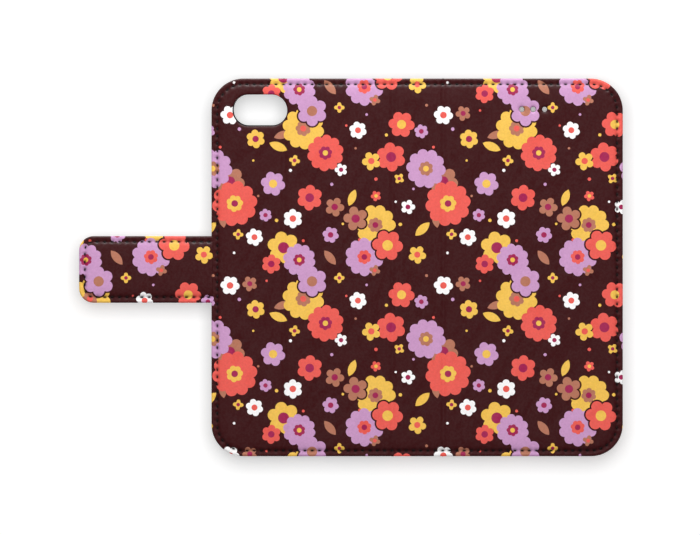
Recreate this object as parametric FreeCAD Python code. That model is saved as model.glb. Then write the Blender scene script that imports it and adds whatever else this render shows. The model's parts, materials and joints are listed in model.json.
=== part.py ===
import FreeCAD, Part
import math
import os

# Folio phone case lying open and flat, printed face up, phone tray below.
# Millimetres. +X runs from the closing strap to the front cover, +Y to the top
# of the phone, +Z up. The origin is the middle of the case's footprint, on the
# surface that the tray's rim stands on.

Vector = FreeCAD.Vector
UP = Vector(0, 0, 1)

# ---- driving dimensions: plan view ----
overall_width = 187.1          # strap end to free edge of the front cover
case_height = 130.0            # bottom to top edge of the panels
body_width = 141.55            # the four panels side by side
strip_width = 25.0             # camera strip, edge to stand crease
leg_width = 37.3               # stand leg, crease to crease
spine_width = 17.5
corner_radius = 11.0           # the four corners of the open case

# ---- driving dimensions: layers, from the outer face inwards ----
skin = 0.6
foam = 0.4
board = 0.6
lining = 0.6
pad_thickness = 0.3            # adhesive between tray and camera strip
tray_height = 9.2

# ---- seams and creases ----
seam_inset = 2.0               # middle of the stitch line from the edge
seam_width = 0.9
seam_depth = 0.4
hem_width = 3.2                # turned-over edge that holds the stitches
crease_hem = 0.9               # solid end of a panel's skin beside a crease
lining_inset = 0.5
edge_round = 0.55
crease_gap = 1.4               # full thickness stops this far from a crease
hinge_half = 0.4               # half thickness of the pressed skin at a crease
hinge_gap = 0.75               # where the pressed skin of the next panel starts
thread_radius = 0.2
thread_length = 1.2
stitch_pitch = 2.5

# ---- camera window and ear-piece holes ----
camera_x = -31.3
camera_y = 54.05
camera_width = 18.9
camera_height = 11.0
tray_window_shrink = 0.4
tray_window_shift = 0.2
ear_x = 62.7
ear_y = 54.4
ear_pitch = 3.93
ear_diameter = 1.95
ear_count = 3
window_round = 0.25            # skin rolled over the rim of the camera window

# ---- phone tray ----
tray_width = 60.3
tray_length = 125.8
tray_wall = 0.9
tray_floor = 1.0
tray_inset = 0.6               # from the camera strip's outer edge
tray_radius = 9.0
tray_margin = 3.0              # edge of the adhesive pad inside the tray's edge
lip_width = 0.7
lip_height = 0.8
slot_low = 1.8                 # button and port slots run between these heights
slot_high = 7.4
volume_slot = (19.0, 49.0)     # along Y, in the wall beside the spine
power_slot = (-43.0, -28.0)    # along X, in the top wall
port_slots = ((-41.0, -29.0), (-24.0, -10.5), (-5.0, 3.5))

# ---- closing strap ----
strap_y = -0.7
strap_width = 23.0
strap_radius = 5.0
strap_clearance = 0.3          # closed strap to the panel edge
tip_clearance = 0.4            # closed strap tip to the front cover
tongue_width = 19.0
magnet_diameter = 12.0
magnet_reach = 12.4            # from the tip's crease to the magnet

# ---- pockets inside the front cover ----
pocket_sheet = 0.45
pocket_margin = 2.6            # from the cover's edges
pocket_crease_margin = 4.5     # from the spine crease
cash_top = 49.0
pocket_tops = (40.0, 27.0, 14.0)
pocket_seam = 1.8
pocket_hem = 3.4               # folded band along each pocket's mouth
hem_sheet = 0.25
thumb_radius = 9.0             # notch in the cash pocket's mouth
thumb_depth = 5.0

# ---- places worked out from the driving dimensions ----
x_right = overall_width / 2
x_left = x_right - body_width
x_stand = x_left + strip_width
x_rear = x_stand + leg_width
x_front = x_rear + spine_width
x_strap_end = -overall_width / 2
y_edge = case_height / 2
panel = skin + foam + board + lining
z_lining = tray_height + pad_thickness
z_board = z_lining + lining
z_foam = z_board + board
z_skin = z_foam + foam
z_top = z_skin + skin
z_mid = (z_lining + z_top) / 2
x_strap = x_left - strap_clearance - panel / 2
closed_depth = spine_width + panel / 2 + tip_clearance + panel / 2
x_tip = x_strap - closed_depth
catch_x = x_front + (x_rear - x_strap) - magnet_reach
beyond = 5.0                   # how far a cutting tool runs past a face
tolerance = 1e-6


def box(x0, x1, y0, y1, z0, z1):
    """Box between two corners."""
    return Part.makeBox(x1 - x0, y1 - y0, z1 - z0, Vector(x0, y0, z0))


def disc(x, y, diameter, z0, z1):
    """Upright cylinder."""
    return Part.makeCylinder(diameter / 2, z1 - z0, Vector(x, y, z0), UP)


def outline(x0, x1, y0, y1, left, right, z):
    """Closed wire of a rectangle with its left and right corners rounded."""
    corners = ((x1, y0, right, -90), (x1, y1, right, 0), (x0, y1, left, 90), (x0, y0, left, 180))
    edges = []
    start = None
    for x, y, radius, turn in corners:
        centre_x = x - radius if x == x1 else x + radius
        centre_y = y + radius if y == y0 else y - radius
        points = []
        for degrees in (turn, turn + 45, turn + 90):
            angle = math.radians(degrees)
            points.append(Vector(centre_x + radius * math.cos(angle),
                                 centre_y + radius * math.sin(angle), z))
        if start is None:
            first = points[0]
        elif start.distanceToPoint(points[0]) > tolerance:
            edges.append(Part.LineSegment(start, points[0]).toShape())
        if radius > 0:
            edges.append(Part.Arc(*points).toShape())
        start = points[2]
    edges.append(Part.LineSegment(start, first).toShape())
    return Part.Wire(edges)


def plate(x0, x1, y0, y1, z0, z1, left=0.0, right=0.0):
    """Flat plate with rounded left and right corners."""
    wire = outline(x0, x1, y0, y1, left, right, z0)
    return Part.Face(wire).extrude(Vector(0, 0, z1 - z0))


def pill(x, y, width, height, z0, z1):
    """Slot with round ends, long side along X."""
    radius = height / 2
    return plate(x - width / 2, x + width / 2, y - radius, y + radius, z0, z1, radius, radius)


def edges_at(solid, z):
    """Edges of a solid that lie at a height."""
    return [e for e in solid.Edges if all(abs(v.Z - z) < tolerance for v in e.Vertexes)]


def round_top(solid, z, radius):
    """Solid with the edges of its upper face rounded."""
    return solid.makeFillet(radius, edges_at(solid, z))


def round_rim(solid, hole, z, radius):
    """Solid with the edges that a hole leaves in its upper face rounded."""
    rim = [e for e in edges_at(solid, z)
           if all(hole.distToShape(v)[0] < tolerance for v in e.Vertexes)
           and hole.isInside(e.CenterOfGravity, radius, True)]
    return solid.makeFillet(radius, rim) if rim else solid


def body_plate(inset, z0, z1):
    """The open case's outline, pulled in by an inset."""
    radius = corner_radius - inset
    return plate(x_left + inset, x_right - inset, -y_edge + inset, y_edge - inset, z0, z1,
                 radius, radius)


def strap_plate(inset, z0, z1):
    """The strap's outline up to its root crease, pulled in by an inset."""
    half = strap_width / 2 - inset
    return plate(x_strap_end + inset, x_strap, strap_y - half, strap_y + half, z0, z1,
                 strap_radius - inset, 0.0)


def seam_groove(plate_of):
    """Valley that the stitches lie in."""
    outer = plate_of(seam_inset - seam_width / 2, z_top - seam_depth, z_top + beyond)
    inner = plate_of(seam_inset + seam_width / 2, z_top - seam_depth, z_top + beyond)
    return outer.cut(inner)


def slab(x0, x1):
    """Everything between two planes across the case."""
    return box(x0, x1, -case_height, case_height, -beyond, z_top + beyond)


def storey(z0, z1):
    """Everything between two heights."""
    return box(-overall_width, overall_width, -case_height, case_height, z0, z1)


def window():
    """Cutting tool of the camera window in the panels."""
    return pill(camera_x, camera_y, camera_width, camera_height, z_lining - beyond, z_top + beyond)


def ear_holes():
    """Cutting tool of the holes over the phone's ear piece."""
    first = ear_x - ear_pitch * (ear_count - 1) / 2
    holes = [disc(first + i * ear_pitch, ear_y, ear_diameter, z_lining - beyond, z_top + beyond)
             for i in range(ear_count)]
    return Part.Compound(holes)


def crease_nose(x, y0, y1, side):
    """Pressed skin that runs to a crease and ends in a round nose on its axis."""
    near = x - side * crease_gap
    flat = box(min(near, x), max(near, x), y0, y1, z_mid - hinge_half, z_mid + hinge_half)
    nose = Part.makeCylinder(hinge_half, y1 - y0, Vector(x, y0, z_mid), Vector(0, 1, 0))
    return flat.fuse(nose).removeSplitter()


def crease_flange(x, y0, y1, side):
    """Pressed skin of the next panel, which starts just past the nose."""
    ends = sorted((x + side * hinge_gap, x + side * crease_gap))
    return box(ends[0], ends[1], y0, y1, z_mid - hinge_half, z_mid + hinge_half)


def layered(x0, x1, plate_of, extras, holes):
    """Skin, core space and lining of one panel between two planes."""
    space = slab(x0, x1)
    core_space = plate_of(hem_width, z_board, z_skin).common(slab(x0 + crease_hem, x1 - crease_hem))
    shell = round_top(plate_of(0.0, z_board, z_top), z_top, edge_round).cut(seam_groove(plate_of))
    shell = shell.common(space).cut(core_space)
    for extra in extras:
        shell = shell.fuse(extra)
    inner = plate_of(lining_inset, z_lining, z_board).common(space)
    parts = {"skin": shell.removeSplitter(), "core": core_space, "lining": inner}
    for hole in holes:
        parts = {name: solid.cut(hole) for name, solid in parts.items()}
        parts["skin"] = round_rim(parts["skin"], hole, z_top, window_round)
    return parts


def split_core(core_space):
    """Foam over board, which together fill the core space."""
    foam_layer = core_space.common(storey(z_foam, z_skin))
    board_layer = core_space.common(storey(z_board, z_foam))
    return foam_layer, board_layer


def thread(point, direction):
    """One stitch, a short length of thread lying in the seam."""
    direction.normalize()
    start = point - direction * (thread_length / 2)
    return Part.makeCylinder(thread_radius, thread_length, start, direction)


def stitches(wire, keep):
    """Evenly spaced stitches along a wire, where keep says so."""
    count = round(wire.Length / stitch_pitch)
    marks = wire.discretize(Number=2 * count + 1)
    threads = []
    for i in range(count):
        middle = marks[2 * i + 1]
        if keep(middle):
            threads.append(thread(middle, marks[2 * i + 2] - marks[2 * i]))
    return Part.Compound(threads)


def seam_stitches(wire, x0, x1):
    """Stitches of one seam that lie clear between two planes."""
    reach = thread_length / 2 + hinge_gap

    def keep(point):
        return x0 + reach < point.x < x1 - reach

    return stitches(wire, keep)


def body_seam():
    """Middle line of the stitches round the open case."""
    radius = corner_radius - seam_inset
    return outline(x_left + seam_inset, x_right - seam_inset, -y_edge + seam_inset,
                   y_edge - seam_inset, radius, radius, z_top - seam_depth + thread_radius)


def strap_seam():
    """Middle line of the stitches round the strap."""
    half = strap_width / 2 - seam_inset
    return outline(x_strap_end + seam_inset, x_strap + strap_width, strap_y - half,
                   strap_y + half, strap_radius - seam_inset, 0.0,
                   z_top - seam_depth + thread_radius)


def make_panel(nodes, name, x0, x1, extras, holes=()):
    """Skin, foam, board, lining and stitching of one panel."""
    parts = layered(x0, x1, body_plate, extras, holes)
    foam_layer, board_layer = split_core(parts["core"])
    nodes[name + "_skin"] = parts["skin"]
    nodes[name + "_foam"] = foam_layer
    nodes[name + "_board"] = board_layer
    nodes[name + "_lining"] = parts["lining"]
    nodes[name + "_stitching"] = seam_stitches(body_seam(), x0, x1)


def make_strap_length(nodes, name, core_name, x0, x1, extras):
    """Skin, core, lining and stitching of one length of the strap."""
    parts = layered(x0, x1, strap_plate, extras, ())
    nodes[name + "_skin"] = parts["skin"]
    nodes[core_name] = parts["core"]
    nodes[name + "_lining"] = parts["lining"]
    nodes[name + "_stitching"] = seam_stitches(strap_seam(), x0, x1)


def make_tongue(nodes):
    """Strap tongue, clamped in the hem of the camera strip, with its round nose."""
    half = tongue_width / 2
    y0, y1 = strap_y - half, strap_y + half
    tongue = box(x_strap, x_left + hem_width, y0, y1, z_mid - hinge_half, z_mid + hinge_half)
    nose = Part.makeCylinder(hinge_half, tongue_width, Vector(x_strap, y0, z_mid), Vector(0, 1, 0))
    tongue = tongue.fuse(nose).removeSplitter()
    nodes["strap_tongue"] = tongue
    nodes["camera_strip_skin"] = nodes["camera_strip_skin"].cut(tongue)


def make_tray(nodes):
    """Moulded tray that clips round the phone, open downwards."""
    x0 = x_left + tray_inset
    x1 = x0 + tray_width
    y1 = tray_length / 2
    outer = plate(x0, x1, -y1, y1, 0.0, tray_height, tray_radius, tray_radius)
    outer = round_top(outer, tray_height, tray_floor)

    def bay(inset, z0, z1):
        radius = tray_radius - inset
        return plate(x0 + inset, x1 - inset, -y1 + inset, y1 - inset, z0, z1, radius, radius)

    tray = outer.cut(bay(tray_wall, lip_height, tray_height - tray_floor))
    tray = tray.cut(bay(tray_wall + lip_width, -beyond, lip_height + beyond))
    tray = tray.cut(pill(camera_x + tray_window_shift, camera_y + tray_window_shift,
                         camera_width - tray_window_shrink, camera_height - tray_window_shrink,
                         0.0, tray_height + beyond))
    wall_reach = tray_wall + lip_width / 2
    tray = tray.cut(box(x1 - wall_reach, x1 + beyond, volume_slot[0], volume_slot[1],
                        slot_low, slot_high))
    tray = tray.cut(box(power_slot[0], power_slot[1], y1 - wall_reach, y1 + beyond,
                        slot_low, slot_high))
    for low, high in port_slots:
        tray = tray.cut(box(low, high, -y1 - beyond, -y1 + wall_reach, slot_low, slot_high))
    nodes["phone_tray"] = tray

    pad = plate(x0 + tray_margin, x_stand - crease_gap, -y1 + tray_margin, y1 - tray_margin,
                tray_height, z_lining, tray_radius - tray_margin, 0.0)
    ring = pill(camera_x, camera_y, camera_width + tray_margin, camera_height + tray_margin,
                0.0, tray_height + beyond)
    nodes["tray_adhesive_pad"] = pad.cut(ring)


def make_pockets(nodes):
    """Cash pocket and stepped card pockets, sewn inside the front cover."""
    x0 = x_front + pocket_crease_margin
    x1 = x_right - pocket_margin
    y0 = -y_edge + pocket_margin
    radius = corner_radius - pocket_margin
    names = ("cash_pocket", "card_pocket_back", "card_pocket_middle", "card_pocket_front")
    z1 = z_lining
    for name, top in zip(names, (cash_top,) + pocket_tops):
        z0 = z1 - pocket_sheet
        sheet = plate(x0, x1, y0 - radius, top, z0, z1)
        lower = plate(x0, x1, y0, y_edge, z0, z1, 0.0, radius)
        band = box(x0, x1, top - pocket_hem, top, z0 - hem_sheet, z0)
        nodes[name] = sheet.common(lower).fuse(band).removeSplitter()
        z1 = z0
    thumb = disc((x0 + x1) / 2, cash_top + thumb_radius - thumb_depth, 2 * thumb_radius,
                 z_lining - beyond, z_lining)
    nodes["cash_pocket"] = nodes["cash_pocket"].cut(thumb)
    y_low = y0 + pocket_seam
    seam_end = pocket_tops[-1] - pocket_hem
    rows = []
    for x in (x0 + pocket_seam, x1 - pocket_seam):
        seam = Part.Wire(Part.LineSegment(Vector(x, y_low + radius, z1 - thread_radius),
                                          Vector(x, seam_end, z1 - thread_radius)).toShape())
        rows += stitches(seam, lambda point: True).Solids
    bottom = Part.Wire(Part.LineSegment(Vector(x0 + pocket_seam, y_low, z1 - thread_radius),
                                        Vector(x1 - radius, y_low, z1 - thread_radius)).toShape())
    rows += stitches(bottom, lambda point: True).Solids
    nodes["pocket_stitching"] = Part.Compound(rows)


def make_catch(nodes):
    """Steel plate in the front cover and magnet in the strap tip that closes on it."""
    plate_disc = disc(catch_x, strap_y, magnet_diameter, z_board, z_foam)
    nodes["front_cover_board"] = nodes["front_cover_board"].cut(plate_disc)
    nodes["catch_plate"] = plate_disc
    magnet = disc(x_tip - magnet_reach, strap_y, magnet_diameter, z_board, z_skin)
    nodes["strap_tip_stiffener"] = nodes["strap_tip_stiffener"].cut(magnet)
    nodes["strap_magnet"] = magnet


def build():
    """All sub-parts by node name."""
    nodes = {}
    y0, y1 = -y_edge + hem_width / 2, y_edge - hem_width / 2
    make_panel(nodes, "camera_strip", x_left - beyond, x_stand - crease_gap,
               [crease_nose(x_stand, y0, y1, 1)], [window()])
    make_panel(nodes, "stand_leg", x_stand + crease_gap, x_rear - crease_gap,
               [crease_flange(x_stand, y0, y1, 1), crease_nose(x_rear, y0, y1, 1)], [window()])
    make_panel(nodes, "spine", x_rear + crease_gap, x_front - crease_gap,
               [crease_flange(x_rear, y0, y1, 1), crease_nose(x_front, y0, y1, 1)])
    make_panel(nodes, "front_cover", x_front + crease_gap, x_right + beyond,
               [crease_flange(x_front, y0, y1, 1)], [ear_holes()])
    s0, s1 = strap_y - tongue_width / 2, strap_y + tongue_width / 2
    make_strap_length(nodes, "strap_side", "strap_side_core", x_tip + crease_gap,
                      x_strap - crease_gap,
                      [crease_flange(x_strap, s0, s1, -1), crease_nose(x_tip, s0, s1, -1)])
    make_strap_length(nodes, "strap_tip", "strap_tip_stiffener", x_strap_end - beyond,
                      x_tip - crease_gap, [crease_flange(x_tip, s0, s1, -1)])
    make_tongue(nodes)
    make_tray(nodes)
    make_pockets(nodes)
    make_catch(nodes)
    return nodes


os.makedirs("parts", exist_ok=True)
for node, shape in build().items():
    shape.exportStep("parts/" + node + ".step")
    print(node, len(shape.Solids), shape.isValid(), round(shape.Volume, 1))
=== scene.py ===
import json
import math

import bmesh
import bpy
import numpy as np
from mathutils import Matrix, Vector
from mathutils.geometry import delaunay_2d_cdt


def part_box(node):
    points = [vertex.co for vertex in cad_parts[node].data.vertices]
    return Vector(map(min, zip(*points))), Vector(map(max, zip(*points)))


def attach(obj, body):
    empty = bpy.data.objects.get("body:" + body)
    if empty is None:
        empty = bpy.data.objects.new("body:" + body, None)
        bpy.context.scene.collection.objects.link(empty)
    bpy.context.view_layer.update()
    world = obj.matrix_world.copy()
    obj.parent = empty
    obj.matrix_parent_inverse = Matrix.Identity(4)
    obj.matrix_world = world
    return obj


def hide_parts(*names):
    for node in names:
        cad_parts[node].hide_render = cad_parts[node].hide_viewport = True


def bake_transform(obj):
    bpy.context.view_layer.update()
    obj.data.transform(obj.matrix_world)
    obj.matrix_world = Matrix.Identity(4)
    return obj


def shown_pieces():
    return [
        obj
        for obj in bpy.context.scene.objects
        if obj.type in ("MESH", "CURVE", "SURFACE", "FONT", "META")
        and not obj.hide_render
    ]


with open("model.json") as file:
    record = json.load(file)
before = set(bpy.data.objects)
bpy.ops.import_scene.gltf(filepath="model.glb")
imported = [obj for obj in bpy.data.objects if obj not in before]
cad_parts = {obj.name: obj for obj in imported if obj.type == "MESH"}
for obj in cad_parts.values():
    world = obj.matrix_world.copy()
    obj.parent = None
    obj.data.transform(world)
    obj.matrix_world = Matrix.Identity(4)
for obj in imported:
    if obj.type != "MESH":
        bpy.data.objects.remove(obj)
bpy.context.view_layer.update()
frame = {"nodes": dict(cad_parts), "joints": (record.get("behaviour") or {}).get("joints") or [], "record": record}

# Folio phone case, printed face up. Lengths are in millimetres until a mesh is made.

MM = 0.001

# ---- places read from the frame ----
joints = {joint["name"]: joint for joint in frame["joints"]}


def low(node):
    """Lowest corner of a CAD node, in millimetres."""
    return np.array(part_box(node)[0]) / MM


def high(node):
    """Highest corner of a CAD node, in millimetres."""
    return np.array(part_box(node)[1]) / MM


def crease_x(joint):
    """Where a fold's axis crosses the case."""
    return joints[joint]["pos_m"][0] / MM


X_LEFT = low("camera_strip_skin")[0]
X_RIGHT = high("front_cover_skin")[0]
Y_EDGE = high("front_cover_skin")[1]
Z_TOP = high("front_cover_skin")[2]
Z_LINING = low("front_cover_lining")[2]
X_STAND, X_REAR, X_FRONT = [crease_x(name) for name in ("stand_fold", "rear_fold", "front_fold")]
X_STRAP, X_TIP = [crease_x(name) for name in ("strap_fold", "strap_tip_fold")]
BODY_CREASES, STRAP_CREASES = (X_STAND, X_REAR, X_FRONT), (X_STRAP, X_TIP)
X_MID_LEG = (X_STAND + X_REAR) / 2
X_MID_SPINE = (X_REAR + X_FRONT) / 2
X_MID_STRAP = (X_STRAP + X_TIP) / 2
X_STRAP_END = low("strap_tip_skin")[0]
Y_STRAP = joints["strap_fold"]["pos_m"][1] / MM
STRAP_HALF = high("strap_tip_skin")[1] - Y_STRAP

# ---- sizes that the frame doesn't name ----
CORNER = 11.0
STRAP_CORNER = 5.0
SEAM_INSET = 2.0               # stitch line from the edge
STITCH_PITCH = 2.5
STEPS_PER_STITCH = 6           # mesh points from one stitch to the next
HIDE = 0.42                    # thickness of the printed leather
LINING_HIDE = 0.4
LINING_INSET = 1.05            # the lining stops this far inside the edge
STRAP_TUCK = 0.35              # the strap's skin runs this far under the panel's rim
CAMERA_X, CAMERA_Y, CAMERA_W, CAMERA_H = -31.3, 54.05, 18.9, 11.0
EAR_X, EAR_Y, EAR_PITCH, EAR_R = 62.7, 54.4, 3.93, 0.975

# ---- the printed face across the seam, down from the panel's face ----
RIM_DROP = 0.46                # flat of the rim outside the stitches
RIM_FALL, RIM_FALL_END = 0.06, 2.1
EDGE_DROP, EDGE_ROLL = 0.55, 0.8
DENT, DENT_OUTSIDE, DENT_INSIDE = 0.2, 1.0, 0.5
DENT_SWING = 0.75              # share by which it is deeper at a stitch, shallower between two
PAD_RISE, PAD_REACH = 0.52, 1.6

# ---- dips and grooves, as depth and half width or reach ----
CREASE_LINE, CREASE_TROUGH, STRAP_LINE = (0.26, 0.7), (0.10, 2.0), (0.12, 0.8)
EAR_DIP, CAMERA_DIP = (0.42, 0.42), (0.30, 0.35)
LINING_EDGE, LINING_SEAM, LINING_CREASE = (0.30, 0.35), (0.22, 0.35), (0.35, 0.8)
FACE_LOWERED, LINING_LIFTED = 0.03, 0.02
SWELL_START, SWELL_END = 3.0, 8.0

# ---- mesh, threads and grain ----
FINE_STEP, FINE_REACH = 0.38, 3.4   # mesh width near a crease, and how near
THREAD_RADIUS, THREAD_LENGTH = 0.27, 1.3
GRAIN_DEPTH = 0.05


# ---------------------------------------------------------------- outlines

class Outline:
    """Rectangle with rounded corners seen from above, which can be followed at any inset.

    Each side and corner has the same number of steps at every inset, so rings at two
    insets join up point by point. An open outline leaves out its right side.
    """

    def __init__(self, x0, x1, y0, y1, radius, inset=0.0, step=None, is_open=False):
        self.box, self.radius, self.is_open = (x0, x1, y0, y1), radius, is_open
        x_in, x_far = x0 + radius, x1 if is_open else x1 - radius
        y_in, y_far = y0 + radius, y1 - radius
        quarter = math.pi / 2
        top = ("line", (x_far, y1), (x_in, y1), (0, -1))
        top_left = ("arc", (x_in, y_far), quarter, 2 * quarter)
        left = ("line", (x0, y_far), (x0, y_in), (1, 0))
        low_left = ("arc", (x_in, y_in), 2 * quarter, 3 * quarter)
        bottom = ("line", (x_in, y0), (x_far, y0), (0, 1))
        low_right = ("arc", (x_far, y_in), 3 * quarter, 4 * quarter)
        right = ("line", (x1, y_in), (x1, y_far), (-1, 0))
        top_right = ("arc", (x_far, y_far), 0.0, quarter)
        self.sections = [top, top_left, left, low_left, bottom]
        if not is_open:
            self.sections += [low_right, right, top_right]
        self.counts = []
        for section in self.sections:
            if section[0] == "line":
                length = math.dist(section[1], section[2])
            else:
                length = (radius - inset) * quarter
            if step is None:
                stitches = max(1, round(length / STITCH_PITCH)) if length > 0.1 else 0
                self.counts.append(stitches * STEPS_PER_STITCH)
            else:
                self.counts.append(max(1, round(length / step)) if length > 1e-6 else 0)

    def points(self, inset):
        """Points at an inset, as an array with a row for each. A negative inset is outside."""
        rows = []
        for (kind, a, b, *more), count in zip(self.sections, self.counts):
            share = np.arange(count) / max(count, 1)
            if kind == "line":
                start = np.array(a) + inset * np.array(more[0])
                rows.append(start + share[:, None] * (np.array(b) - np.array(a)))
            else:
                angle = b + share * (more[0] - b)
                spoke = np.stack([np.cos(angle), np.sin(angle)], 1)
                rows.append(np.array(a) + (self.radius - inset) * spoke)
        if self.is_open:
            end = np.array(self.sections[-1][2]) + inset * np.array((0, 1))
            rows.append(end[None, :])
        return np.concatenate(rows)

    def inset_of(self, points):
        """How far inside the outline each point is."""
        x0, x1, y0, y1 = self.box
        if self.is_open:
            x1 = x1 + 2 * (y1 - y0)
        half = np.array([(x1 - x0) / 2, (y1 - y0) / 2])
        centre = np.array([(x0 + x1) / 2, (y0 + y1) / 2])
        q = np.abs(points[:, :2] - centre) - half + self.radius
        outside = np.linalg.norm(np.maximum(q, 0), axis=1)
        return self.radius - outside - np.minimum(q.max(axis=1), 0)


BODY = Outline(X_LEFT, X_RIGHT, -Y_EDGE, Y_EDGE, CORNER, SEAM_INSET)
STRAP = Outline(X_STRAP_END, X_LEFT + STRAP_TUCK, Y_STRAP - STRAP_HALF, Y_STRAP + STRAP_HALF,
                STRAP_CORNER, SEAM_INSET, is_open=True)
CAMERA = Outline(CAMERA_X - CAMERA_W / 2, CAMERA_X + CAMERA_W / 2, CAMERA_Y - CAMERA_H / 2,
                 CAMERA_Y + CAMERA_H / 2, CAMERA_H / 2, step=0.5)
EAR_HOLES = [Outline(x - EAR_R, x + EAR_R, EAR_Y - EAR_R, EAR_Y + EAR_R, EAR_R, step=0.3)
             for x in (EAR_X - EAR_PITCH, EAR_X, EAR_X + EAR_PITCH)]


# ---------------------------------------------------------------- heights

def smooth(value, start, end):
    """0 before start, 1 after end, and smooth between."""
    t = np.clip((value - start) / (end - start), 0, 1)
    return t * t * (3 - 2 * t)


def bump(value, width):
    """Bell of height 1 and the given half width."""
    return np.exp(-(value / width) ** 2)


def rolled(distance, width):
    """0 at the start of a rounded edge, 1 where it is flat, along a quarter circle."""
    t = np.clip(distance / width, 0, 1)
    return np.sqrt(np.clip(1 - (1 - t) ** 2, 0, 1))


def creases(x, depth, width, at=BODY_CREASES):
    """Pressed grooves along the folds."""
    return depth * sum(bump(x - place, width) for place in at)


def swell(x, y):
    """Faint unevenness of hide over foam."""
    return 0.035 * (np.sin(0.23 * x + 0.11 * y + 0.6) * np.sin(0.17 * y - 0.07 * x)
                    + 0.5 * np.sin(0.51 * x - 0.37 * y))


def between_stitches(phase):
    """1 midway between two stitches and -1 at one, from the step along the seam."""
    return np.cos(2 * math.pi * phase / STEPS_PER_STITCH)


def seam_profile(inset, phase):
    """Rolled rim at the edge, stitched valley, then the padded swelling inside it."""
    past = np.maximum(inset - SEAM_INSET, 0)
    width = np.where(inset < SEAM_INSET, DENT_OUTSIDE, DENT_INSIDE)
    pull = 1 - DENT_SWING * between_stitches(phase)
    valley = DENT * pull * bump(inset - SEAM_INSET, width)
    edge = EDGE_DROP * (1 - rolled(inset, EDGE_ROLL))
    rim = -RIM_DROP - edge - RIM_FALL * smooth(inset, EDGE_ROLL, RIM_FALL_END)
    return rim - valley + PAD_RISE * (1 - np.exp(-past / PAD_REACH))


def hole_dip(hole, points, depth, reach):
    """How far the face sinks towards the edge of a hole."""
    return depth * np.exp(-np.maximum(-hole.inset_of(points), 0) / reach)


def outer_height(outline):
    """Height of the printed face over an outline."""
    def height(points, phase):
        x, y = points[:, 0], points[:, 1]
        inset = outline.inset_of(points)
        z = Z_TOP + seam_profile(inset, phase)
        inner = smooth(inset, SWELL_START, SWELL_END)
        if outline is BODY:
            z = z - creases(x, *CREASE_LINE) - creases(x, *CREASE_TROUGH)
            for hole in EAR_HOLES:
                z = z - hole_dip(hole, points, *EAR_DIP)
            z = z - hole_dip(CAMERA, points, *CAMERA_DIP)
        else:
            z = z - creases(x, *STRAP_LINE, at=(X_TIP,))
        return z + swell(x, y) * inner - FACE_LOWERED
    return height


def lining_height(outline):
    """Height of the lining's lower face over an outline. It has no dents at the stitches."""
    def height(points, phase):
        x = points[:, 0]
        inset = outline.inset_of(points)
        edge_depth, edge_width = LINING_EDGE
        z = Z_LINING + LINING_LIFTED + edge_depth * (1 - rolled(inset - LINING_INSET, edge_width))
        seam_depth, seam_width = LINING_SEAM
        z = z + seam_depth * bump(inset - SEAM_INSET, seam_width)
        if outline is BODY:
            z = z + creases(x, *LINING_CREASE)
        return z
    return height


# ---------------------------------------------------------------- meshes

class Shell:
    """Mesh under construction: points, their places on the flat hide, and faces."""

    def __init__(self):
        self.points, self.flat, self.faces, self.count = [], [], [], 0
        self.seam_shade = []

    def add(self, points, flat, seam_shade=0.0):
        """Adds points and returns their numbers. The third argument is the painted shade of the stitch valley at
        each point.
        """
        self.points.append(np.asarray(points, float))
        self.flat.append(np.asarray(flat, float)[:, :2])
        self.seam_shade.append(np.broadcast_to(seam_shade, len(points)))
        numbers = np.arange(self.count, self.count + len(points))
        self.count += len(points)
        return numbers

    def band(self, outer, inner, closed):
        """Quads between two rings with as many points."""
        count = len(outer)
        for i in range(count if closed else count - 1):
            j = (i + 1) % count
            self.faces.append((outer[i], outer[j], inner[j], inner[i]))

    def fill(self, loops, loop_points, inner_points, keep):
        """Triangles between closed loops, over the points inside them."""
        numbers = np.concatenate(loops)
        flat = [Vector(p[:2]) for p in loop_points] + [Vector(p) for p in inner_points]
        edges, first = [], 0
        for loop in loops:
            edges += [(first + i, first + (i + 1) % len(loop)) for i in range(len(loop))]
            first += len(loop)
        vertices, _, faces, origin, _, _ = delaunay_2d_cdt(flat, edges, [], 0, 1e-7)
        lookup, extra = {}, []
        for i, sources in enumerate(origin):
            if sources and sources[0] < len(numbers):
                lookup[i] = numbers[sources[0]]
            else:
                extra.append(i)
        places = np.array([vertices[i][:] for i in extra]).reshape(-1, 2)
        centres = np.array([[sum(vertices[v][k] for v in face) / len(face) for k in (0, 1)]
                            for face in faces])
        return lookup, extra, places, [f for f, good in zip(faces, keep(centres)) if good]

    def mesh(self, name, upside_down):
        """The finished mesh, with each point's place on the flat hide as rest_mm."""
        points = np.concatenate(self.points)
        flat = np.concatenate(self.flat)
        faces = [f[::-1] if upside_down else f for f in self.faces]
        data = bpy.data.meshes.new(name)
        data.from_pydata((points * MM).tolist(), [], [[int(v) for v in f] for f in faces])
        rest = data.attributes.new("rest_mm", "FLOAT_VECTOR", "POINT")
        values = np.concatenate([flat, points[:, 2:]], axis=1)
        rest.data.foreach_set("vector", values.astype(np.float32).ravel())
        # Painted shade of the stitch valley, kept on each point to darken the print there.
        seam_shade = data.attributes.new("seam_shade", "FLOAT", "POINT")
        seam_shade.data.foreach_set("value", np.concatenate(self.seam_shade).astype(np.float32))
        return data


def with_height(points, height, phase=0.0):
    """Flat points lifted to their height."""
    return np.column_stack([points[:, 0], points[:, 1], height(points, phase)])


def stations(start, end, coarse, places, fine, reach):
    """Places from start to end, closer together near the given ones."""
    found, x = [start], start
    while x < end - coarse / 2:
        near = min(abs(x - place) for place in places)
        x += fine if near < reach else coarse
        found.append(min(x, end))
    return np.array(found)


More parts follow.
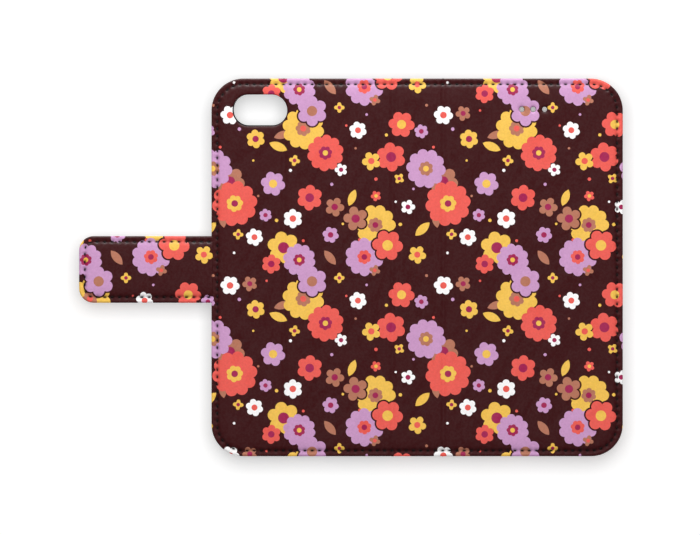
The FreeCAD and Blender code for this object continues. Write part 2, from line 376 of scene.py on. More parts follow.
def sheet_shell(outline, height, insets, skirt, holes, hole_rings, coarse, places):
    """A sheet over an outline.

    insets are the rings from the edge inwards. skirt continues from the edge over the
    side as (inset, height, distance along the hide past the edge). holes are outlines cut
    through, with rings at hole_rings outside each. places are where the mesh is finer.
    """
    shell = Shell()
    closed = not outline.is_open
    phase = np.arange(len(outline.points(0.0))) % STEPS_PER_STITCH
    rings = []
    for inset in insets:
        flat = outline.points(inset)
        # Painted shade for the stitch valley, strongest at each stitch.
        valley_shade = bump(inset - SEAM_INSET, DENT_INSIDE) * (1 - between_stitches(phase)) / 2
        rings.append(shell.add(with_height(flat, height, phase), flat, valley_shade))
    for outer, inner in zip(rings, rings[1:]):
        shell.band(outer, inner, closed)
    previous = rings[0]
    for inset, z, past in skirt:
        place = outline.points(inset)
        ring = shell.add(np.column_stack([place, np.full(len(place), z)]), outline.points(-past))
        shell.band(ring, previous, closed)
        previous = ring

    loops, loop_points = [rings[-1]], [outline.points(insets[-1])]
    for hole in holes:
        hole_loops = []
        for offset in hole_rings:
            flat = hole.points(-offset)
            hole_loops.append(shell.add(with_height(flat, height), flat))
        for wide, narrow in zip(hole_loops, hole_loops[1:]):
            shell.band(wide, narrow, True)
        loops.append(hole_loops[0])
        loop_points.append(hole.points(-hole_rings[0]))

    x0, x1, y0, y1 = outline.box
    xs = stations(x0 + coarse, x1 - coarse / 2, coarse, places, FINE_STEP, FINE_REACH)
    ys = np.arange(y0 + coarse, y1, coarse)
    grid = np.array([(x, y) for x in xs for y in ys])
    edge_gap, hole_gap, slack = coarse * 0.45, coarse * 0.35, 0.01
    clear = outline.inset_of(grid) > insets[-1] + edge_gap
    if outline.is_open:
        clear &= grid[:, 0] < x1 - edge_gap
    for hole in holes:
        clear &= hole.inset_of(grid) < -hole_rings[0] - hole_gap
    grid = grid[clear]

    def keep(centres):
        inside = outline.inset_of(centres) > insets[-1] - slack
        if outline.is_open:
            inside &= centres[:, 0] < x1
        for hole in holes:
            inside &= hole.inset_of(centres) < -hole_rings[0] + slack
        return inside

    lookup, extra, places_2d, faces = shell.fill(loops, np.concatenate(loop_points), grid, keep)
    numbers = shell.add(with_height(places_2d, height), places_2d)
    lookup.update(dict(zip(extra, numbers)))
    shell.faces += [tuple(lookup[v] for v in face) for face in faces]
    return shell


def cut_between(data, name, x0, x1):
    """The part of a mesh between two planes across the case."""
    work = bmesh.new()
    work.from_mesh(data)
    for x, normal in ((x0, -1), (x1, 1)):
        if x is not None:
            everything = work.verts[:] + work.edges[:] + work.faces[:]
            bmesh.ops.bisect_plane(work, geom=everything, dist=1e-9, plane_co=(x * MM, 0, 0),
                                   plane_no=(normal, 0, 0), clear_outer=True)
    piece = bpy.data.meshes.new(name)
    work.to_mesh(piece)
    work.free()
    return piece


def make_object(name, data, material):
    """An object of a mesh in the scene."""
    data.materials.clear()
    data.materials.append(material)
    piece = bpy.data.objects.new(name, data)
    bpy.context.scene.collection.objects.link(piece)
    return piece


def apply_modifiers(piece):
    """Replaces an object's mesh by the result of its modifiers."""
    depsgraph = bpy.context.evaluated_depsgraph_get()
    result = bpy.data.meshes.new_from_object(piece.evaluated_get(depsgraph))
    piece.modifiers.clear()
    piece.data = result


def thicken(piece, thickness):
    """Gives a sheet its thickness, on the side away from its face."""
    solid = piece.modifiers.new("thickness", "SOLIDIFY")
    solid.thickness = thickness * MM
    solid.offset = -1.0
    solid.use_rim = True
    apply_modifiers(piece)


def shade_smooth(piece, degrees=38.0):
    """Smooth shading with sharp edges where faces meet at more than the angle."""
    piece.data.shade_smooth()
    piece.data.set_sharp_from_angle(angle=math.radians(degrees))


# ---------------------------------------------------------------- materials

def srgb(red, green, blue):
    """Linear colour of an 8-bit one."""
    def linear(value):
        share = value / 255
        return share / 12.92 if share <= 0.04045 else ((share + 0.055) / 1.055) ** 2.4
    return (linear(red), linear(green), linear(blue), 1.0)


GROUND = srgb(58, 6, 9)
MUSTARD = srgb(243, 194, 82)
LAVENDER = srgb(203, 152, 197)
CORAL = srgb(235, 91, 81)
TAN = srgb(181, 116, 91)
PLUM = srgb(161, 27, 80)
WHITE = srgb(253, 251, 251)

TILE = (73.4, 58.6)            # the print repeats at this width and height


class Nodes:
    """Short calls that add nodes to a tree and join them."""

    def __init__(self, tree):
        self.tree = tree

    def add(self, kind, inputs=(), **settings):
        """A node with its inputs set or linked, by position or name."""
        node = self.tree.nodes.new(kind)
        for key, value in settings.items():
            setattr(node, key, value)
        for key, value in dict(inputs).items():
            if isinstance(value, bpy.types.NodeSocket):
                self.tree.links.new(value, node.inputs[key])
            else:
                node.inputs[key].default_value = value
        return node

    def math(self, operation, a, b=None, c=None):
        """Result of a maths node."""
        inputs = {i: v for i, v in enumerate((a, b, c)) if v is not None}
        return self.add("ShaderNodeMath", inputs, operation=operation).outputs[0]

    def vector(self, operation, a, b=None, c=None, output=0):
        """Result of a vector maths node."""
        inputs = {i: v for i, v in enumerate((a, b, c)) if v is not None}
        return self.add("ShaderNodeVectorMath", inputs, operation=operation).outputs[output]

    def spread(self, value, low_end, high_end, start, end):
        """Result of a value taken from one range to another, held at its ends."""
        inputs = {"Value": value, 1: low_end, 2: high_end, 3: start, 4: end}
        return self.add("ShaderNodeMapRange", inputs).outputs[0]

    def mix(self, factor, a, b):
        """Colour a where factor is 0 and b where it is 1."""
        node = self.add("ShaderNodeMix", {"Factor": factor}, data_type="RGBA")
        for socket, value in ((node.inputs[6], a), (node.inputs[7], b)):
            if isinstance(value, bpy.types.NodeSocket):
                self.tree.links.new(value, socket)
            else:
                socket.default_value = value
        return node.outputs[2]


def petal_group():
    """Node group: distance in millimetres from a flower's edge, negative inside it.

    The flower is a ring of round petals about its centre.
    """
    group = bpy.data.node_groups.new("petal_distance", "ShaderNodeTree")
    for name, kind in (("Place", "NodeSocketVector"), ("Turn", "NodeSocketFloat"),
                       ("Half sector", "NodeSocketFloat"), ("Reach", "NodeSocketFloat"),
                       ("Petal", "NodeSocketFloat")):
        group.interface.new_socket(name, in_out="INPUT", socket_type=kind)
    group.interface.new_socket("Distance", in_out="OUTPUT", socket_type="NodeSocketFloat")
    n = Nodes(group)
    given = n.add("NodeGroupInput").outputs
    split = n.add("ShaderNodeSeparateXYZ", {0: given["Place"]}).outputs
    angle = n.math("ARCTAN2", split[1], split[0])
    turned = n.math("ADD", angle, given["Turn"])
    folded = n.math("PINGPONG", turned, given["Half sector"])
    radius = n.vector("LENGTH", given["Place"], output=1)
    along = n.math("MULTIPLY_ADD", n.math("COSINE", folded), radius,
                   n.math("MULTIPLY", given["Reach"], -1.0))
    across = n.math("MULTIPLY", n.math("SINE", folded), radius)
    petal = n.math("SQRT", n.math("MULTIPLY_ADD", along, along, n.math("MULTIPLY", across, across)))
    petal = n.math("SUBTRACT", petal, given["Petal"])
    middle = n.math("SUBTRACT", radius, given["Reach"])
    nearest = n.math("MINIMUM", petal, middle)
    n.add("NodeGroupOutput", {"Distance": nearest})
    return group


class Print:
    """The repeating floral print, painted one motif over another.

    Petals and eyes are radii, as shares of the flower's outer radius. INNER is the small
    flower in the middle of a rosette.
    """

    OUTLINE = 0.55                 # dark line round a bloom, in millimetres
    ROSETTE_COUNT, ROSETTE_PETAL, ROSETTE_EYE = 10, 0.27, 0.145
    INNER_COUNT, INNER_PETAL, INNER_SIZE, INNER_TURN = 7, 0.36, 0.37, 0.3
    BLOOM_PETAL, BLOOM_EYE = 0.37, 0.34
    LEAF_HALF_WIDTH = 0.22         # share of the leaf's length

    def __init__(self, tree, place):
        self.n = Nodes(tree)
        self.place = place
        self.colour = None
        self.group = petal_group()

    def local(self, x, y):
        """Place relative to a motif's centre, in the tile that is nearest to it."""
        moved = self.n.vector("SUBTRACT", self.place, (x, y, 0))
        half = (TILE[0] / 2, TILE[1] / 2, 1.0)
        minus = tuple(-value for value in half)
        wrapped = self.n.vector("WRAP", moved, half, minus)
        return self.n.vector("MULTIPLY", wrapped, (1, 1, 0))

    def paint(self, distance, edge, colour):
        """Paints a colour where the distance is below the edge."""
        inside = self.n.math("LESS_THAN", distance, edge)
        self.colour = self.n.mix(inside, self.colour, colour)

    def petals(self, local, count, size, turn, share):
        """Distance from the edge of a flower of the given outer radius."""
        petal = size * share
        inputs = {"Place": local, "Turn": turn, "Half sector": math.pi / count,
                  "Reach": size - petal, "Petal": petal}
        return self.n.add("ShaderNodeGroup", inputs, node_tree=self.group).outputs[0]

    def disc(self, local, radius, colour):
        """Paints a round spot."""
        self.paint(self.n.vector("LENGTH", local, output=1), radius, colour)

    def rosette(self, x, y, size, turn, colours):
        """Large scalloped flower with a small flower and an eye in its middle."""
        local = self.local(x, y)
        outer = self.petals(local, self.ROSETTE_COUNT, size, turn, self.ROSETTE_PETAL)
        self.paint(outer, 0.0, colours[0])
        inner = self.petals(local, self.INNER_COUNT, size * self.INNER_SIZE,
                            turn + self.INNER_TURN, self.INNER_PETAL)
        self.paint(inner, 0.0, colours[1])
        self.disc(local, size * self.ROSETTE_EYE, colours[2])

    def bloom(self, x, y, size, turn, colours, outlined=False, count=6):
        """Flower of a few round petals with a round eye."""
        local = self.local(x, y)
        distance = self.petals(local, count, size, turn, self.BLOOM_PETAL)
        if outlined:
            self.paint(distance, self.OUTLINE, GROUND)
        self.paint(distance, 0.0, colours[0])
        self.disc(local, size * self.BLOOM_EYE, colours[1])

    def leaf(self, x, y, length, turn, colour):
        """Pointed leaf, where two discs overlap."""
        local = self.local(x, y)
        width = length * self.LEAF_HALF_WIDTH
        radius = (length * length / 4 + width * width) / (2 * width)
        across = (-math.sin(turn), math.cos(turn), 0)
        far = [self.n.vector("DISTANCE", local, [side * (radius - width) * c for c in across],
                             output=1) for side in (-1, 1)]
        self.paint(self.n.math("MAXIMUM", *far), radius, colour)

    def dot(self, x, y, radius, colour):
        """Small spot on the ground."""
        self.disc(self.local(x, y), radius, colour)


def floral_print(tree, place):
    """Colour of the print at a place on the flat hide, in millimetres."""
    art = Print(tree, place)
    art.colour = art.n.mix(0.0, GROUND, GROUND)
    for x, y, radius, colour in DOTS:
        art.dot(x, y, radius, colour)
    for motif in MOTIFS:
        kind, details = motif[0], motif[1:]
        getattr(art, kind)(*details)
    return art.colour


DOTS = (
    (3.0, 9.5, 0.55, CORAL), (10.5, 3.0, 0.42, TAN), (17.0, 14.8, 0.60, MUSTARD),
    (21.5, 27.0, 0.45, LAVENDER), (8.6, 30.4, 0.60, CORAL), (1.6, 41.0, 0.42, TAN),
    (12.2, 45.6, 0.55, MUSTARD), (28.4, 41.4, 0.50, CORAL), (35.0, 47.6, 0.60, LAVENDER),
    (41.5, 24.6, 0.42, TAN), (47.8, 16.2, 0.60, MUSTARD), (52.6, 33.4, 0.55, WHITE),
    (60.4, 41.8, 0.45, TAN), (66.8, 28.6, 0.55, LAVENDER), (70.6, 15.0, 0.45, MUSTARD),
    (57.0, 9.2, 0.50, CORAL), (33.2, 5.0, 0.45, WHITE), (44.4, 54.0, 0.42, CORAL),
    (26.0, 55.8, 0.50, TAN), (63.4, 55.4, 0.55, MUSTARD), (5.4, 52.6, 0.45, LAVENDER),
    (39.8, 36.8, 0.40, MUSTARD), (15.4, 22.6, 0.40, WHITE), (71.8, 48.8, 0.42, CORAL),
)

MOTIFS = (
    ("leaf", 24.6, 13.2, 6.6, 0.75, MUSTARD), ("leaf", 29.2, 16.6, 6.0, 1.75, TAN),
    ("leaf", 48.4, 41.6, 6.6, 2.75, MUSTARD), ("leaf", 49.8, 45.6, 6.0, 3.45, TAN),
    ("leaf", 66.2, 3.4, 6.2, 5.4, TAN), ("leaf", 0.4, 24.0, 6.0, 1.2, MUSTARD),
    ("bloom", 31.8, 29.6, 5.1, 0.2, (TAN, PLUM)),
    ("rosette", 25.8, 34.0, 6.8, 0.1, (LAVENDER, TAN, MUSTARD)),
    ("rosette", 33.4, 22.0, 7.8, 0.5, (CORAL, MUSTARD, PLUM)),
    ("rosette", 57.0, 47.8, 7.2, 0.2, (MUSTARD, TAN, CORAL)),
    ("rosette", 64.6, 39.4, 6.3, 0.4, (CORAL, PLUM, MUSTARD)),
    ("bloom", 60.0, 53.8, 5.2, 0.5, (LAVENDER, TAN), True),
    ("rosette", 8.4, 14.6, 7.0, 0.0, (MUSTARD, TAN, PLUM)),
    ("rosette", 4.6, 3.6, 6.6, 0.3, (LAVENDER, CORAL, PLUM)),
    ("bloom", 12.6, 7.6, 5.3, 0.1, (CORAL, MUSTARD), True),
    ("bloom", 1.6, 16.8, 4.2, 0.7, (TAN, PLUM), True, 5),
    ("bloom", 50.2, 6.8, 5.6, 0.3, (MUSTARD, PLUM)),
    ("rosette", 55.6, 2.6, 5.6, 0.2, (LAVENDER, PLUM, MUSTARD)),
    ("bloom", 46.0, 1.2, 3.3, 0.6, (CORAL, PLUM)),
    ("bloom", 13.8, 38.0, 5.0, 0.4, (CORAL, PLUM)),
    ("bloom", 17.4, 49.2, 4.5, 0.1, (CORAL, MUSTARD)),
    ("bloom", 7.0, 36.6, 3.2, 0.5, (MUSTARD, CORAL), False, 5),
    ("bloom", 46.6, 28.8, 4.2, 0.2, (LAVENDER, MUSTARD)),
    ("bloom", 59.2, 24.0, 4.4, 0.6, (CORAL, PLUM)),
    ("bloom", 67.8, 20.8, 3.3, 0.1, (TAN, PLUM), False, 5),
    ("bloom", 40.6, 44.2, 3.2, 0.4, (MUSTARD, PLUM)),
    ("bloom", 22.8, 4.4, 3.1, 0.2, (MUSTARD, CORAL), False, 5),
    ("bloom", 40.2, 10.4, 3.0, 0.3, (WHITE, CORAL)),
    ("bloom", 53.4, 16.8, 3.3, 0.5, (WHITE, CORAL)),
    ("bloom", 19.6, 20.8, 2.5, 0.0, (WHITE, PLUM), False, 5),
    ("bloom", 2.4, 47.2, 3.0, 0.3, (WHITE, CORAL)),
    ("bloom", 31.8, 52.4, 3.3, 0.1, (WHITE, CORAL)),
    ("bloom", 70.0, 33.6, 2.2, 0.6, (WHITE, PLUM), False, 5),
    ("bloom", 44.0, 18.0, 2.2, 0.4, (LAVENDER, PLUM)),
    ("bloom", 66.4, 11.2, 2.8, 0.2, (LAVENDER, PLUM)),
    ("bloom", 24.2, 46.8, 2.4, 0.3, (LAVENDER, PLUM)),
    ("bloom", 38.6, 53.0, 2.6, 0.5, (TAN, PLUM), False, 5),
    ("bloom", 54.0, 36.8, 1.9, 0.2, (MUSTARD, PLUM), False, 4),
    ("bloom", 16.6, 30.6, 1.8, 0.6, (MUSTARD, PLUM), False, 4),
    ("bloom", 34.6, 11.4, 1.8, 0.1, (MUSTARD, PLUM), False, 4),
    ("bloom", 8.2, 57.6, 1.9, 0.3, (TAN, CORAL), False, 4),
    ("bloom", 69.4, 55.0, 1.8, 0.0, (MUSTARD, PLUM), False, 4),
    ("bloom", 8.6, 24.6, 1.8, 0.5, (CORAL, MUSTARD), False, 5),
)


def new_material(name):
    """Material with an empty tree, its node helper and its shader."""
    material = bpy.data.materials.new(name)
    material.use_nodes = True
    tree = material.node_tree
    tree.nodes.clear()
    n = Nodes(tree)
    shader = n.add("ShaderNodeBsdfPrincipled")
    n.add("ShaderNodeOutputMaterial", {"Surface": shader.outputs[0]})
    return material, n, shader


def rest_place(n):
    """Where a point lies on the flat hide at rest, in millimetres."""
    return n.add("ShaderNodeAttribute", attribute_name="rest_mm").outputs["Vector"]


def grain(n, place, cell, strength):
    """Normal and softness of fine leather grain: small pebbles with soft creases between."""
    pebbles = n.add("ShaderNodeTexVoronoi", {"Vector": place, "Scale": 1 / cell},
                    feature="SMOOTH_F1").outputs["Distance"]
    soft = n.add("ShaderNodeTexNoise", {"Vector": place, "Scale": 0.5 / cell, "Detail": 3.0})
    height = n.math("MULTIPLY_ADD", pebbles, -1.0, soft.outputs["Fac"])
    node = n.add("ShaderNodeBump", {"Height": height, "Strength": strength,
                                    "Distance": GRAIN_DEPTH * MM})
    return node.outputs[0], soft.outputs["Fac"]


def printed_leather():
    """Fine-grained leather with the floral print."""
    material, n, shader = new_material("printed_leather")
    place = rest_place(n)
    colour = floral_print(n.tree, place)
    normal, soft = grain(n, place, cell=0.7, strength=0.42)

    # Mottled a little, with painted shade that darkens the print in the stitch valley.
    mottle = n.add("ShaderNodeTexNoise", {"Vector": place, "Scale": 1.6, "Detail": 4.0})
    tone = n.spread(mottle.outputs["Fac"], 0.3, 0.7, 0.93, 1.05)
    seam_shade = n.add("ShaderNodeAttribute", attribute_name="seam_shade").outputs["Fac"]
    tone = n.math("MULTIPLY", tone, n.math("MULTIPLY_ADD", seam_shade, -0.75, 1.0))
    shaded = n.add("ShaderNodeMix", {"Factor": 1.0}, data_type="RGBA", blend_type="MULTIPLY")
    n.tree.links.new(colour, shaded.inputs[6])
    grey = n.add("ShaderNodeCombineColor", {0: tone, 1: tone, 2: tone})
    n.tree.links.new(grey.outputs[0], shaded.inputs[7])

    # Painted glints: faint pale specks added to the colour in place of the grain's specular glints, which show on
    # the dark ground.
    fine = n.add("ShaderNodeTexNoise", {"Vector": place, "Scale": 1.35, "Detail": 1.0})
    painted_glints = n.spread(fine.outputs["Fac"], 0.42, 0.58, 0.0, 0.005)
    painted_glints = n.add("ShaderNodeCombineXYZ", {0: painted_glints, 1: painted_glints, 2: painted_glints}).outputs[0]
    n.tree.links.new(n.vector("ADD", shaded.outputs[2], painted_glints), shader.inputs["Base Color"])
    n.tree.links.new(n.spread(soft, 0.3, 0.7, 0.40, 0.52), shader.inputs["Roughness"])
    n.tree.links.new(normal, shader.inputs["Normal"])
    return material


def plain_surface(name, dark, light, cell, strength, roughness, rest=False, metallic=0.0):
    """Grained surface in two close tones, with grain of the given cell in millimetres.

    With rest the grain stays on the flat hide, for pieces that carry rest_mm.
    """
    material, n, shader = new_material(name)
    if rest:
        place = rest_place(n)
    else:
        coordinates = n.add("ShaderNodeTexCoord").outputs["Object"]
        place = n.vector("SCALE", coordinates)
        place.node.inputs["Scale"].default_value = 1 / MM
    normal, soft = grain(n, place, cell, strength)
    mottle = n.add("ShaderNodeTexNoise", {"Vector": place, "Scale": 0.7, "Detail": 4.0})
    colour = n.mix(mottle.outputs["Fac"], dark, light)
    n.tree.links.new(colour, shader.inputs["Base Color"])
    rough = n.spread(soft, 0.3, 0.7, roughness - 0.06, roughness + 0.08)
    n.tree.links.new(rough, shader.inputs["Roughness"])
    n.tree.links.new(normal, shader.inputs["Normal"])
    shader.inputs["Metallic"].default_value = metallic
    return material


LEATHER = printed_leather()
LINING = plain_surface("lining_leather", srgb(58, 35, 31), srgb(72, 45, 39), 0.5, 0.4, 0.55, True)
POCKET = plain_surface("pocket_leather", srgb(70, 43, 37), srgb(86, 54, 46), 0.5, 0.4, 0.52)
THREAD = plain_surface("dark_thread", srgb(9, 6, 6), srgb(20, 13, 12), 0.16, 0.8, 0.75, True)
EDGE_PAINT = plain_surface("edge_paint", srgb(14, 12, 12), srgb(26, 23, 23), 0.8, 0.2, 0.4, True)
TRAY = plain_surface("tray_plastic", srgb(15, 15, 16), srgb(24, 24, 25), 0.25, 0.25, 0.5)
FOAM = plain_surface("foam", srgb(176, 172, 160), srgb(204, 200, 190), 0.3, 0.8, 0.9)
BOARD = plain_surface("pressed_board", srgb(140, 122, 98), srgb(172, 152, 124), 0.6, 0.5, 0.9)
ADHESIVE = plain_surface("adhesive_film", srgb(86, 80, 74), srgb(104, 98, 90), 1.2, 0.2, 0.35)
STEEL = plain_surface("sheet_steel", srgb(150, 150, 152), srgb(176, 176, 178), 0.7, 0.15, 0.35,
                      metallic=1.0)


# ---------------------------------------------------------------- pieces

# Rings of mesh points by their distance from the edge, closest where the seam bends most.
BODY_RINGS = (0.0, 0.04, 0.12, 0.26, 0.45, 0.7, 1.0, 1.3, 1.55, 1.78, 2.0, 2.22, 2.5, 2.85,
              3.3, 3.8)
STRAP_RINGS = BODY_RINGS[:-1] + (3.7,)
LINING_RINGS = (LINING_INSET, 1.09, 1.18, 1.3, 1.5, 1.7, 1.85, 2.0, 2.15, 2.35, 2.7, 3.3)
HOLE_RINGS = (0.75, 0.5, 0.32, 0.18, 0.08, 0.02, 0.0)

# The hide's side and turned-over hem: inset, height, distance along the hide past the edge.
SKIRT = ((0.0, Z_TOP - 1.25, 0.3), (0.02, Z_LINING + 0.75, 0.8), (0.12, Z_LINING + 0.4, 1.15),
         (0.32, Z_LINING + 0.2, 1.45), (0.6, Z_LINING + 0.12, 1.75), (0.9, Z_LINING + 0.15, 2.1),
         (1.12, Z_LINING + 0.36, 2.4), (1.35, Z_LINING + 0.5, 2.7))

# Name, from and to along X, the two bodies, the crease between them, the panels it covers.
BODY_SPLITS = (
    ("strip_leg", None, X_MID_LEG, ("rear_holder", "stand_leg"), X_STAND, ("camera_strip",)),
    ("leg_spine", X_MID_LEG, X_MID_SPINE, ("stand_leg", "spine"), X_REAR, ("stand_leg",)),
    ("spine_front", X_MID_SPINE, None, ("spine", "front_cover"), X_FRONT,
     ("spine", "front_cover")),
)
STRAP_SPLITS = (
    ("strap_end", None, X_MID_STRAP, ("strap_tip", "strap_side"), X_TIP, ("strap_tip",)),
    ("strap_root", X_MID_STRAP, None, ("strap_side", "rear_holder"), X_STRAP, ("strap_side",)),
)


def bend(piece, span, bodies, x):
    """Bakes a piece's placement into its mesh."""
    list(bodies)
    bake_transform(piece)


def make_sheets(data, splits, kind, thickness, material):
    """Cuts a sheet into its spans and thickens each."""
    for span, x0, x1, bodies, x, panels in splits:
        name = span + "_" + kind
        piece = make_object(name, cut_between(data, name, x0, x1), material)
        thicken(piece, thickness)
        shade_smooth(piece)
        bend(piece, span, bodies, x)
        nodes = [panel + "_" + kind for panel in panels]
        if name == "strap_root_skin":
            nodes.append("strap_tongue")
        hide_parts(*nodes)


def make_skins():
    """Printed leather over the four panels and the strap."""
    shell = sheet_shell(BODY, outer_height(BODY), BODY_RINGS, SKIRT, [CAMERA] + EAR_HOLES,
                        HOLE_RINGS, 1.0, BODY_CREASES)
    make_sheets(shell.mesh("skin", False), BODY_SPLITS, "skin", HIDE, LEATHER)
    shell = sheet_shell(STRAP, outer_height(STRAP), STRAP_RINGS, SKIRT, [], HOLE_RINGS, 0.8,
                        STRAP_CREASES)
    make_sheets(shell.mesh("strap_skin", False), STRAP_SPLITS, "skin", HIDE, LEATHER)


def make_linings():
    """Dark lining inside the panels and under the strap."""
    for outline, splits, holes, places in (
            (BODY, BODY_SPLITS, [CAMERA] + EAR_HOLES, BODY_CREASES),
            (STRAP, STRAP_SPLITS, [], STRAP_CREASES)):
        shell = sheet_shell(outline, lining_height(outline), LINING_RINGS, (), holes,
                            HOLE_RINGS[2:], 1.2, places)
        make_sheets(shell.mesh("lining", True), splits, "lining", LINING_HIDE, LINING)


def capsule(centre, direction, dip):
    """Points and faces of one thread: a rounded rod whose ends dip into the leather."""
    rows, sides = 7, 8
    direction = direction / np.linalg.norm(direction)
    across = np.array([-direction[1], direction[0], 0.0])
    points = []
    for i in range(rows):
        t = 2 * i / (rows - 1) - 1
        spot = centre + direction * t * THREAD_LENGTH / 2 - np.array([0, 0, dip * t * t])
        girth = THREAD_RADIUS * math.sqrt(max(1 - abs(t) ** 3, 0.02))
        for k in range(sides):
            angle = 2 * math.pi * k / sides
            points.append(spot + girth * (math.cos(angle) * across + math.sin(angle)
                                          * np.array([0, 0, 1])))
    faces = [tuple(range(sides - 1, -1, -1))]
    for i in range(rows - 1):
        for k in range(sides):
            a, b = i * sides + k, i * sides + (k + 1) % sides
            faces.append((a, b, b + sides, a + sides))
    faces.append(tuple((rows - 1) * sides + k for k in range(sides)))
    return points, faces


def stitch_rows(outline, height, lift, dip):
    """Every stitch along an outline: its middle and its thread's points and faces."""
    flat = outline.points(SEAM_INSET)
    steps = np.arange(len(flat))
    places = with_height(flat, height, steps % STEPS_PER_STITCH)
    middle = STEPS_PER_STITCH // 2
    found = []
    for i in range(middle, len(flat) - 1, STEPS_PER_STITCH):
        direction = places[i + 1] - places[i - 1]
        direction[2] = 0.0
        centre = places[i] + np.array([0, 0, lift])
        found.append((centre, capsule(centre, direction, dip)))
    return found


def joined(name, parts, material):
    """One object of many small closed shapes."""
    shell = Shell()
    for points, faces in parts:
        points = np.array(points)
        numbers = shell.add(points, points)
        shell.faces += [tuple(numbers[v] for v in face) for face in faces]
    piece = make_object(name, shell.mesh(name, False), material)
    shade_smooth(piece, 60)
    return piece


def make_threads():
    """Stitches round the panels and the strap, seen on both faces."""
    # Name, the face the thread lies on, how far it stands off, how far its ends dip.
    faces = (("thread_top", outer_height, 0.05, 0.16),
             ("thread_under", lining_height, -0.03, -0.14))
    for outline, splits in ((BODY, BODY_SPLITS), (STRAP, STRAP_SPLITS)):
        for kind, height, lift, dip in faces:
            stitches = stitch_rows(outline, height(outline), lift, dip)
            for span, x0, x1, bodies, x, panels in splits:
                inside = [parts for centre, parts in stitches
                          if (x0 is None or centre[0] >= x0) and (x1 is None or centre[0] < x1)]
                piece = joined(span + "_" + kind, inside, THREAD)
                bend(piece, span, bodies, x)
                if kind == "thread_top":
                    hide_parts(*[panel + "_stitching" for panel in panels])


def sleeve(outline, z0, z1, thickness, lip):
    """Tube that lines a hole, with a rounded lip on top."""
    shell = Shell()
    profile = [(0.0, z0), (0.0, z1 - lip)]
    steps = 4
    for i in range(1, steps + 1):
        angle = math.pi * i / steps
        profile.append((thickness / 2 * (1 - math.cos(angle)), z1 - lip + lip * math.sin(angle)))
    profile.append((thickness, z0))
    rings = []
    for inset, z in profile:
        flat = outline.points(inset)
        rings.append(shell.add(np.column_stack([flat, np.full(len(flat), z)]), flat))
    for a, b in zip(rings, rings[1:] + rings[:1]):
        shell.band(a, b, True)
    return shell


def make_hole_edges():
    """Painted cut edges of the camera window and the ear-piece holes."""
    foot = Z_LINING + 0.05
    shell = sleeve(CAMERA, foot, Z_TOP - 0.4, thickness=0.08, lip=0.08)
    piece = make_object("camera_window_edge", shell.mesh("camera_window_edge", False), EDGE_PAINT)
    shade_smooth(piece, 50)
    bend(piece, "strip_leg", ("rear_holder", "stand_leg"), X_STAND)
    parts = []
    for hole in EAR_HOLES:
        shell = sleeve(hole, foot, Z_TOP - 0.5, thickness=0.12, lip=0.1)
        parts.append((np.concatenate(shell.points), shell.faces))
    piece = joined("ear_hole_edges", parts, EDGE_PAINT)
    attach(piece, "front_cover")


def finish_cad_nodes():
    """Materials and soft edges for the CAD nodes that stay."""
    nodes = frame["nodes"]
    finishes = {"foam": FOAM, "board": BOARD, "tray_plastic": TRAY, "adhesive": ADHESIVE,
                "magnet": STEEL, "steel": STEEL, "pocket_leather": POCKET, "thread": THREAD,
                "lining": POCKET, "printed_leather": LEATHER}
    slots = {row["node"]: row["material_slot"] for row in frame["record"]["subparts"]}
    for name, node in nodes.items():
        node.data.materials.clear()
        node.data.materials.append(finishes[slots[name]])
    widths = {"phone_tray": 0.22, "cash_pocket": 0.1, "card_pocket_back": 0.1,
              "card_pocket_middle": 0.1, "card_pocket_front": 0.1, "pocket_stitching": 0.12}
    for name, width in widths.items():
        edge = nodes[name].modifiers.new("soft edges", "BEVEL")
        edge.width = width * MM
        edge.segments = 2
        edge.limit_method = "ANGLE"
        edge.angle_limit = math.radians(40)
        edge.harden_normals = False


# ---------------------------------------------------------------- studio

def case_collection():
    """Every shown piece of the case, for the floor and the lights that belong to it."""
    case = bpy.data.collections.new("case_pieces")
    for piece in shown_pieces():
        case.objects.link(piece)
    return case


def under_case(case):
    """Geometry nodes that bring the table top to the lowest point of the case."""
    tree = bpy.data.node_groups.new("under_case", "GeometryNodeTree")
    for way in ("INPUT", "OUTPUT"):
        tree.interface.new_socket("Geometry", in_out=way, socket_type="NodeSocketGeometry")
    n = Nodes(tree)
    pieces = n.add("GeometryNodeCollectionInfo", {"Collection": case},
                   transform_space="RELATIVE")
    solid = n.add("GeometryNodeRealizeInstances", {"Geometry": pieces.outputs[0]})
    corner = n.add("GeometryNodeBoundBox", {"Geometry": solid.outputs[0]}).outputs["Min"]
    lowest = n.add("ShaderNodeSeparateXYZ", {0: corner}).outputs[2]
    drop = n.add("ShaderNodeCombineXYZ", {2: lowest}).outputs[0]
    table = n.add("NodeGroupInput").outputs["Geometry"]
    moved = n.add("GeometryNodeTransform", {"Geometry": table, "Translation": drop})
    n.add("NodeGroupOutput", {"Geometry": moved.outputs[0]})
    return tree


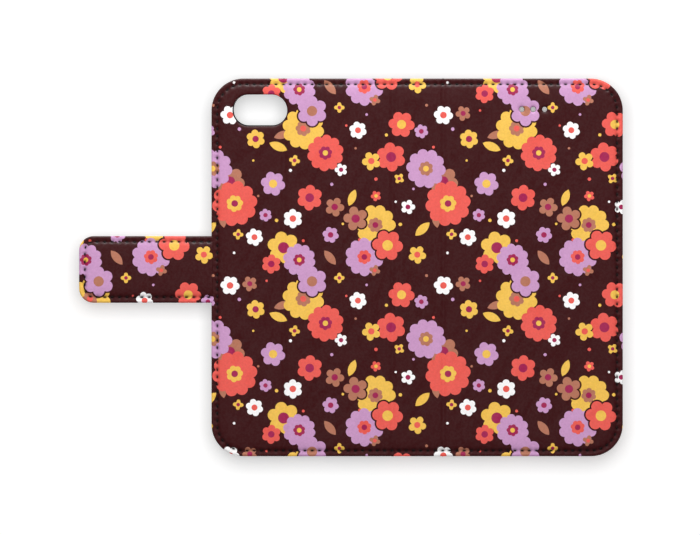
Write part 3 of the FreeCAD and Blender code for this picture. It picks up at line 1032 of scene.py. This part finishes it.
def make_floor(case):
    """White table top, unseen from below, that the case rests on in every pose."""
    material, n, shader = new_material("white_table")
    speck = n.add("ShaderNodeTexNoise", {"Scale": 3.0, "Detail": 2.0})
    colour = n.mix(speck.outputs["Fac"], (0.88, 0.88, 0.88, 1), (0.9, 0.9, 0.9, 1))
    n.tree.links.new(colour, shader.inputs["Base Color"])
    shader.inputs["Roughness"].default_value = 1.0
    shader.inputs["Specular IOR Level"].default_value = 0.0

    # It glows a little, painted light that makes it read as white, and glows less where the case covers it
    # closely, which paints shade under the case.
    open_sky = n.add("ShaderNodeAmbientOcclusion", {"Distance": 0.03}, samples=12).outputs["AO"]
    glow = n.add("ShaderNodeEmission", {"Color": (1, 1, 1, 1),
                                        "Strength": n.spread(open_sky, 0.0, 0.12, 0.04, 0.42)})
    both = n.add("ShaderNodeAddShader", {0: shader.outputs[0], 1: glow.outputs[0]})

    # From below it is clear, so that it hides nothing of the case.
    below = n.add("ShaderNodeNewGeometry").outputs["Backfacing"]
    see_through = n.add("ShaderNodeBsdfTransparent")
    shown = n.add("ShaderNodeMixShader", {0: below, 1: both.outputs[0],
                                          2: see_through.outputs[0]})
    output = [node for node in n.tree.nodes if node.bl_idname == "ShaderNodeOutputMaterial"][0]
    n.tree.links.new(shown.outputs[0], output.inputs["Surface"])

    half, z = 1.6, -0.00003
    data = bpy.data.meshes.new("table_top")
    data.from_pydata([(-half, -half, z), (half, -half, z), (half, half, z), (-half, half, z)], [],
                     [(0, 1, 2, 3)])
    table = make_object("table_top", data, material)
    table.modifiers.new("under case", "NODES").node_group = under_case(case)


def area_light(name, place, size, power, towards=(0, 0, 0.01)):
    """Soft rectangular light that faces a point."""
    lamp = bpy.data.lights.new(name, "AREA")
    lamp.shape = "RECTANGLE"
    lamp.size, lamp.size_y = size
    lamp.energy = power
    light = bpy.data.objects.new(name, lamp)
    light.location = place
    light.rotation_mode = "QUATERNION"
    light.rotation_quaternion = (Vector(towards) - Vector(place)).to_track_quat("-Z", "Y")
    bpy.context.scene.collection.objects.link(light)
    return light


def make_lights(case):
    """Large softbox overhead, a low strip behind the top edge, one lamp below, pale surround.

    The strip and the lamp below light only the case, so they add no shadow to the table.
    """
    overhead = area_light("overhead", (0.0, 0.22, 1.3), size=(1.1, 1.1), power=13.4)
    overhead.visible_glossy = False
    strip = area_light("low_strip", (0.0, 0.5, 0.255), size=(0.55, 0.115), power=2.6)
    below = area_light("below", (0.1, -0.5, -0.9), size=(0.9, 0.9), power=4.5)
    for light in (strip, below):
        light.light_linking.receiver_collection = case
        light.light_linking.blocker_collection = case
    world = bpy.data.worlds.new("studio")
    bpy.context.scene.world = world
    world.use_nodes = True
    world.node_tree.nodes.clear()
    n = Nodes(world.node_tree)
    seen = n.add("ShaderNodeBackground", {"Color": (1, 1, 1, 1), "Strength": 1.0})
    felt = n.add("ShaderNodeBackground", {"Color": (1, 1, 1, 1), "Strength": 0.08})
    path = n.add("ShaderNodeLightPath")
    mixed = n.add("ShaderNodeMixShader", {0: path.outputs["Is Camera Ray"], 1: felt.outputs[0],
                                          2: seen.outputs[0]})
    n.add("ShaderNodeOutputWorld", {"Surface": mixed.outputs[0]})


def make_camera():
    """Long lens straight above the open case."""
    data = bpy.data.cameras.new("camera")
    data.lens = 600.0
    data.sensor_width = 36.0
    # Millimetres across the picture at the printed face, and the point it is centred on.
    picture_width, middle_x, middle_y = 240.8, -0.33, -0.02
    distance = data.lens / data.sensor_width * picture_width
    camera = bpy.data.objects.new("camera", data)
    camera.location = (middle_x * MM, middle_y * MM, (distance + Z_TOP) * MM)
    data.clip_start, data.clip_end = 0.1, 20.0
    bpy.context.scene.collection.objects.link(camera)
    bpy.context.scene.camera = camera
    bpy.context.scene.view_settings.view_transform = "Standard"


make_camera()
make_skins()
make_linings()
make_threads()
make_hole_edges()
finish_cad_nodes()
case_pieces = case_collection()
make_floor(case_pieces)
make_lights(case_pieces)
